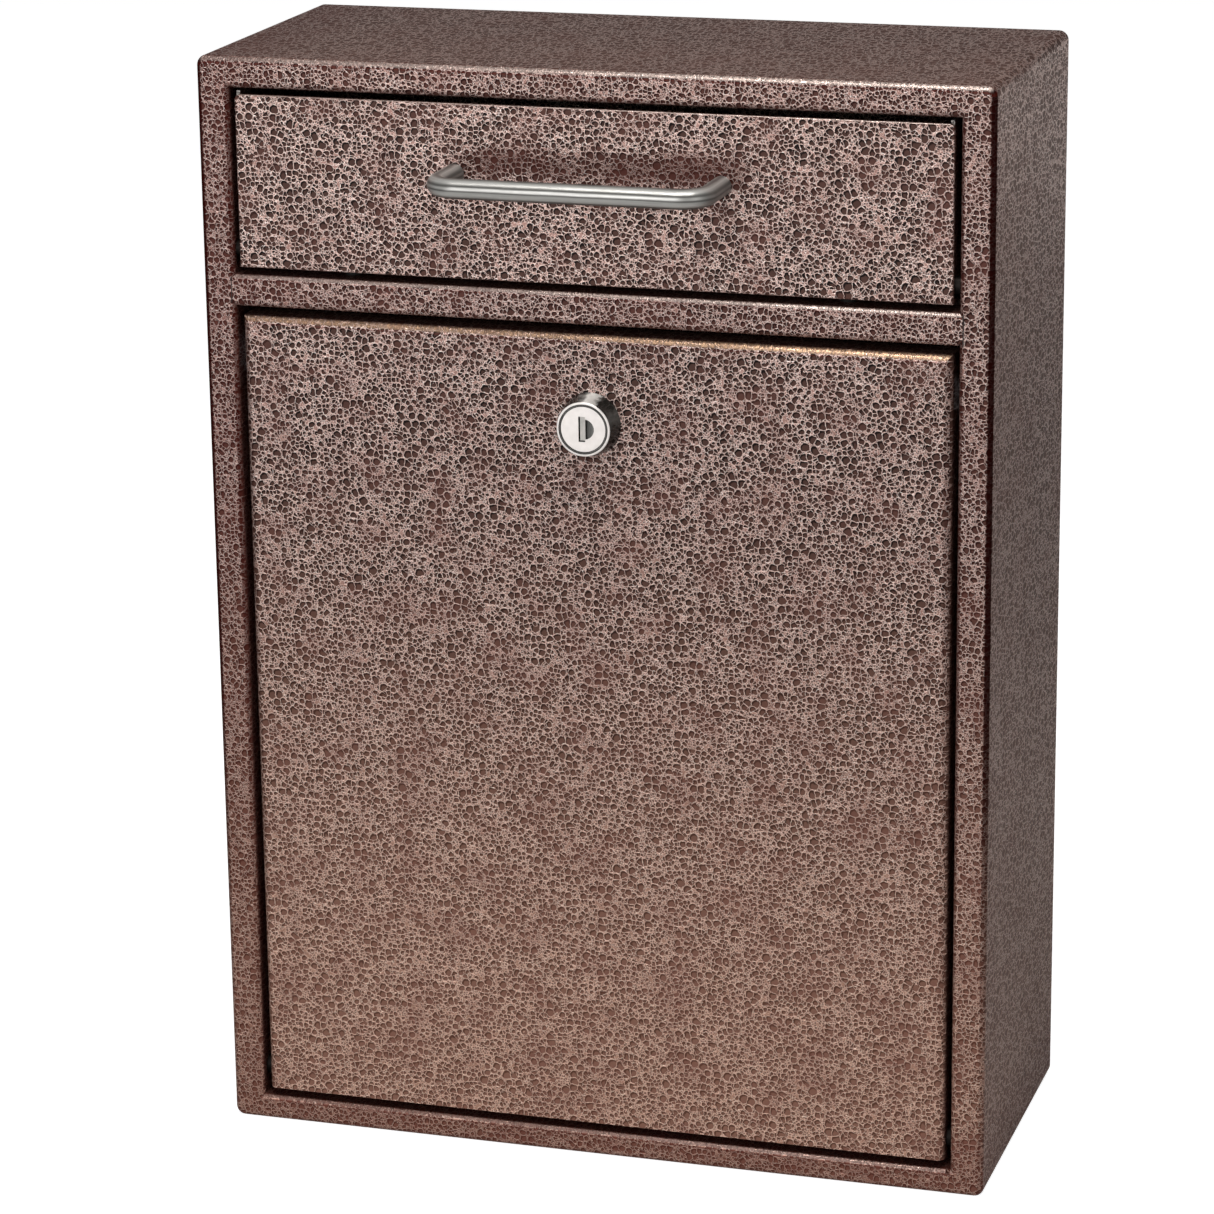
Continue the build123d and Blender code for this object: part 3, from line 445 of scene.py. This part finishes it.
def lock_metal(name, reflected_cone=False, keyway=False):
    """Bright nickel: satin face, with painted reflections round the housing's cone, or painted shade in the
    plug's keyway.
    """
    material, shader, principled = new_material(name)
    place = shader.node("ShaderNodeTexCoord")
    facing = shader.node("ShaderNodeSeparateXYZ", {"Vector": place.outputs["Normal"]}).outputs
    at = shader.node("ShaderNodeSeparateXYZ", {"Vector": place.outputs["Object"]}).outputs
    mottle = shader.noise(place.outputs["Object"], 320.0, 4.0, 0.6)
    fine = shader.noise(place.outputs["Object"], 3000.0, 2.0)
    up = shader.math("SUBTRACT", at[2], LOCK_Z)
    colour = shader.mix(shader.ramp(mottle, 0.3, 0.75), rgb(236, 231, 229), rgb(246, 241, 239))
    metallic = 0.3
    if reflected_cone:
        # Painted reflections on the cone: dark, with a bright band near the top
        cone = shader.ramp(shader.math("ABSOLUTE", facing[1]), 0.45, 0.6, 1.0, 0.0)
        angle = shader.math("ARCTAN2", up, at[0])
        wavering = shader.math("MULTIPLY_ADD", shader.math("SUBTRACT", mottle, 0.5), 0.10, 0.5)
        around = shader.math("MULTIPLY_ADD", angle, 1 / math.tau, wavering)
        cone_reflections = add_stops(shader, around, [(turn, grey(value)) for turn, value in CONE_BANDS])
        colour = shader.mix(cone, colour, cone_reflections)
        metallic = shader.ramp(cone, 0.0, 1.0, 0.3, 0.2)
    if keyway:
        # Painted shade in the sunk keyway, lighter across the scoop, with darker streaks
        sunk = shader.math("GREATER_THAN", at[1], PLUG_FACE - 0.12 * MM)
        near = shader.math("LESS_THAN", shader.math("ABSOLUTE", up), 4.8 * MM)
        right_side = shader.math("LESS_THAN", at[0], 4.2 * MM)
        left_side = shader.math("GREATER_THAN", at[0], -2.2 * MM)
        inside = shader.product(sunk, near, right_side, left_side)
        lines = shader.noise(shader.combine(at[0], 0.0, shader.math("MULTIPLY", at[2], 0.1)), 2600.0, 2.0)
        keyway_shade = shader.mix(shader.ramp(at[0], 0.8 * MM, 3.6 * MM), grey(74), grey(120))
        keyway_shade = shader.mix(shader.ramp(lines, 0.4, 0.7, 0.0, 0.5), keyway_shade, grey(48))
        colour = shader.mix(inside, colour, keyway_shade)
        metallic = shader.ramp(inside, 0.0, 1.0, 0.3, 0.2)
    shader.feed(principled.inputs["Base Color"], colour)
    shader.feed(principled.inputs["Metallic"], metallic)
    shader.feed(principled.inputs["Roughness"], shader.math("MULTIPLY_ADD", mottle, 0.12, 0.14))
    shader.feed(principled.inputs["Normal"], shader.bump(fine, 0.0015 * MM))
    return material


cabinet_paint = hammertone(
    "cabinet_paint",
    (0.013, 0.007),
    0.76,
    gain=0.82,
    shade_colour=rgb(84, 16, 10),
    fold_dark=(0.97, 0.6),
    face_frame=True,
)
hopper_paint = hammertone("hopper_paint", (0.131, 0.057), 0.88, pull_reflection=True)
chute_paint = hammertone("chute_paint", (0.223, 0.091), 0.88, folded=False)
door_paint = hammertone("door_paint", (0.311, 0.173), 0.88, fold_colour=rgb(250, 208, 172))
cheek_paint = hammertone("cheek_paint", (0.517, 0.219), 0.88, cut_edges=True)
zinc = plated("zinc_plate", rgb(176, 178, 182), 0.36)
# Zinc painted dark, as the shade in the gaps where the pins and washers sit
gap_shade_zinc = plated("zinc_in_gap_shade", rgb(36, 33, 32), 0.5)
nickel = lock_metal("nickel_face", keyway=True)
nickel_cone = lock_metal("nickel_cone", reflected_cone=True)
stainless = drawn_wire("brushed_stainless")
black_steel = plated("oiled_steel", rgb(50, 50, 52), 0.4)
aluminium = plated("rivet_aluminium", rgb(205, 206, 208), 0.32)
brass = plated("wafer_brass", rgb(198, 164, 96), 0.28)
bumper_rubber = rubber("bumper_rubber")

MATERIAL_OF = {
    "cabinet_body": cabinet_paint,
    "back_panel": cabinet_paint,
    "back_bars": cabinet_paint,
    "middle_rail": cabinet_paint,
    "baffle": cabinet_paint,
    "hopper_front": hopper_paint,
    "hopper_chute": chute_paint,
    "hopper_cheek_left": cheek_paint,
    "hopper_cheek_right": cheek_paint,
    "door_panel": door_paint,
    "rail_bumpers": bumper_rubber,
    "retaining_clips": black_steel,
    "spacer_washers": gap_shade_zinc,
    "hopper_pin_left": gap_shade_zinc,
    "hopper_pin_right": gap_shade_zinc,
    "door_pin_left": gap_shade_zinc,
    "chute_rivets": aluminium,
    "handle": stainless,
    "lock_housing": nickel_cone,
    "lock_plug": nickel,
    "lock_wafers": brass,
}
for name, cad_node in nodes.items():
    cad_node.data.materials.clear()
    cad_node.data.materials.append(MATERIAL_OF.get(name, zinc))


# ------------------------------------------------------------------ refined pieces
def add_piece(name, points, faces, material, body, slot, smooth=True):
    """A mesh piece that moves with a CAD body; points are in metres."""
    mesh = bpy.data.meshes.new(name)
    mesh.from_pydata([tuple(p) for p in points], [], faces)
    bm = bmesh.new()
    bm.from_mesh(mesh)
    bmesh.ops.recalc_face_normals(bm, faces=bm.faces)
    bm.to_mesh(mesh)
    bm.free()
    for polygon in mesh.polygons:
        polygon.use_smooth = smooth
    mesh.materials.append(material)
    made = bpy.data.objects.new(name, mesh)
    scene.collection.objects.link(made)
    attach(made, body)
    return made


def tube(path, radius, sides):
    """Points and faces of a closed round tube along a flat path at one height."""
    points, faces = [], []
    for i, here in enumerate(path):
        before, after = path[max(i - 1, 0)], path[min(i + 1, len(path) - 1)]
        ahead = (after - before).normalized()
        out = ahead.cross(UP)
        for k in range(sides):
            turn = math.tau * k / sides
            points.append(here + radius * (math.cos(turn) * out + math.sin(turn) * UP))
    for i in range(len(path) - 1):
        for k in range(sides):
            a, b = i * sides + k, i * sides + (k + 1) % sides
            faces.append((a, b, b + sides, a + sides))
    faces.append(tuple(range(sides)))
    faces.append(tuple(range(len(points) - sides, len(points))))
    return points, faces


def box_piece(name, low, high, material, body, slot):
    """A small block between two corners, given in millimetres."""
    (x0, y0, z0), (x1, y1, z1) = low, high
    points = [Vector((x, y, z)) * MM for x in (x0, x1) for y in (y0, y1) for z in (z0, z1)]
    faces = [(0, 1, 3, 2), (4, 6, 7, 5), (0, 4, 5, 1), (2, 3, 7, 6), (0, 2, 6, 4), (1, 5, 7, 3)]
    return add_piece(name, points, faces, material, body, slot, smooth=False)


def ring(name, inner, outer, back_y, front_y, material, body, slot):
    """A thin flat ring round the lock's axis, in millimetres."""
    sides = 96
    points, faces = [], []
    for r, y in ((inner, back_y), (inner, front_y), (outer, front_y), (outer, back_y)):
        for k in range(sides):
            turn = math.tau * k / sides
            points.append((r * MM * math.cos(turn), y * MM, LOCK_Z + r * MM * math.sin(turn)))
    for band in range(4):
        for k in range(sides):
            a, b = band * sides + k, band * sides + (k + 1) % sides
            c, d = (a + sides) % (4 * sides), (b + sides) % (4 * sides)
            faces.append((a, b, d, c))
    return add_piece(name, points, faces, material, body, slot, smooth=False)


PULL_BEND = 9.0 * MM
BEND_STEPS = 14


def handle_path():
    """Centreline of the pull and its wire's radius, in metres: two legs, two bends and the bar."""
    low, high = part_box("handle")
    radius = 0.5 * (high.z - low.z)
    z = 0.5 * (high.z + low.z)
    leg_x, bar_y, panel_y = high.x - radius, low.y + radius, high.y
    right = [Vector((leg_x, panel_y, z)), Vector((leg_x, panel_y - 0.4 * MM, z))]
    middle = Vector((leg_x - PULL_BEND, bar_y + PULL_BEND, z))
    for i in range(BEND_STEPS + 1):
        turn = 0.5 * math.pi * i / BEND_STEPS
        right.append(middle + PULL_BEND * Vector((math.cos(turn), -math.sin(turn), 0.0)))
    left = [Vector((-p.x, p.y, p.z)) for p in reversed(right)]
    return right + left, radius


wire_path, wire_radius = handle_path()
pull = add_piece("handle_wire", *tube(wire_path, wire_radius, 48), stainless, "hopper", "brushed_stainless")
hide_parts("handle")

# The spring shutter behind the keyway, and dark rings painted as the shade in the grooves of the lock's
# face, in millimetres
SHUTTER_LOW = (-1.22, -67.75, 271.95)
SHUTTER_HIGH = (0.66, -67.55, 280.4)
shutter_metal = plated("shutter_steel", rgb(196, 194, 190), 0.4, metallic=0.5)
box_piece("lock_shutter", SHUTTER_LOW, SHUTTER_HIGH, shutter_metal, "lock", "nickel")
groove_shading = plated("groove_shade", rgb(70, 68, 66), 0.45, metallic=0.2)
ring("lock_plug_groove", 8.05, 8.33, -68.15, -68.23, groove_shading, "lock", "nickel")
ring("lock_rim_groove", 8.45, 8.95, -68.3, -68.43, groove_shading, "door", "nickel")

# Dark strips painted as the shade in the seams where the middle rail's ends meet the upright frame, in
# millimetres
RAIL_HALF = 132.2
SEAM_FRONT = -60.62
SEAM_BACK = -60.3
seam_shade = plated("seam_shade", rgb(34, 15, 13), 0.5, metallic=0.1)
for side, x_low, x_high, z_low, z_high in (
    ("right", RAIL_HALF, RAIL_HALF + 0.4, 311.2, 322.0),
    ("left", -RAIL_HALF - 0.3, -RAIL_HALF, 312.2, 321.4),
):
    low, high = (x_low, SEAM_FRONT, z_low), (x_high, SEAM_BACK, z_high)
    box_piece("rail_seam_" + side, low, high, seam_shade, "cabinet", "hammertone_paint")

# ------------------------------------------------------------------ stage and light
FLOOR_HALF = 6.0
FLOOR_GLOW = 0.88  # the floor's own light, seen but not cast
SKY_FILL = 0.16  # the white surroundings' light on the box, beside 1 where they're seen
floor_mesh = bpy.data.meshes.new("floor")
corners = [(x * FLOOR_HALF, y * FLOOR_HALF, 0.0) for x, y in ((-1, -1), (1, -1), (1, 1), (-1, 1))]
floor_mesh.from_pydata(corners, [], [(0, 1, 2, 3)])
floor = bpy.data.objects.new("floor", floor_mesh)
scene.collection.objects.link(floor)
floor_material, floor_shader, floor_principled = new_material("floor_white")
floor_seen = floor_shader.node("ShaderNodeLightPath").outputs["Is Camera Ray"]
floor_principled.inputs["Base Color"].default_value = (0.62, 0.62, 0.62, 1.0)
floor_principled.inputs["Roughness"].default_value = 0.8
floor_principled.inputs["Emission Color"].default_value = (1.0, 1.0, 1.0, 1.0)
floor_glow = floor_shader.math("MULTIPLY", floor_seen, FLOOR_GLOW)
floor_shader.feed(floor_principled.inputs["Emission Strength"], floor_glow)
floor_mesh.materials.append(floor_material)


def softbox(name, at, toward, size, power, colour):
    """A rectangular soft light of a power in watts, aimed at a point."""
    light = bpy.data.lights.new(name, "AREA")
    light.shape = "RECTANGLE"
    light.size, light.size_y = size
    light.energy = power
    light.color = colour
    made = bpy.data.objects.new(name, light)
    made.location = at
    made.rotation_euler = (Vector(toward) - Vector(at)).to_track_quat("-Z", "Y").to_euler()
    made.visible_camera = False
    scene.collection.objects.link(made)


MIDDLE = (0.0, 0.0, 0.2)
softbox("front", (-0.4, -2.1, 0.9), MIDDLE, (1.2, 0.9), 12.4, (1.0, 0.98, 0.96))
softbox("low_front", (-0.45, -1.3, 0.03), (0.0, -0.06, 0.3), (1.0, 0.7), 4.3, (1.0, 0.98, 0.96))
softbox("above", (0.12, -0.42, 1.35), (0.0, -0.06, 0.35), (0.9, 0.42), 10.4, (1.0, 0.97, 0.92))
softbox("right", (1.6, -0.9, 0.7), MIDDLE, (0.9, 1.3), 3.1, (1.0, 0.97, 0.94))
softbox("behind_right", (0.6, 1.7, 0.14), (0.14, 0.0, 0.36), (1.0, 0.34), 0.68, (1.0, 0.90, 0.84))

world = bpy.data.worlds.new("studio")
world.use_nodes = True
scene.world = world
sky = Shader(world.node_tree)
seen = sky.node("ShaderNodeLightPath").outputs["Is Camera Ray"]
sky.feed(world.node_tree.nodes["Background"].inputs["Color"], (1.0, 1.0, 1.0, 1.0))
sky.feed(world.node_tree.nodes["Background"].inputs["Strength"], sky.ramp(seen, 0.0, 1.0, SKY_FILL, 1.0))
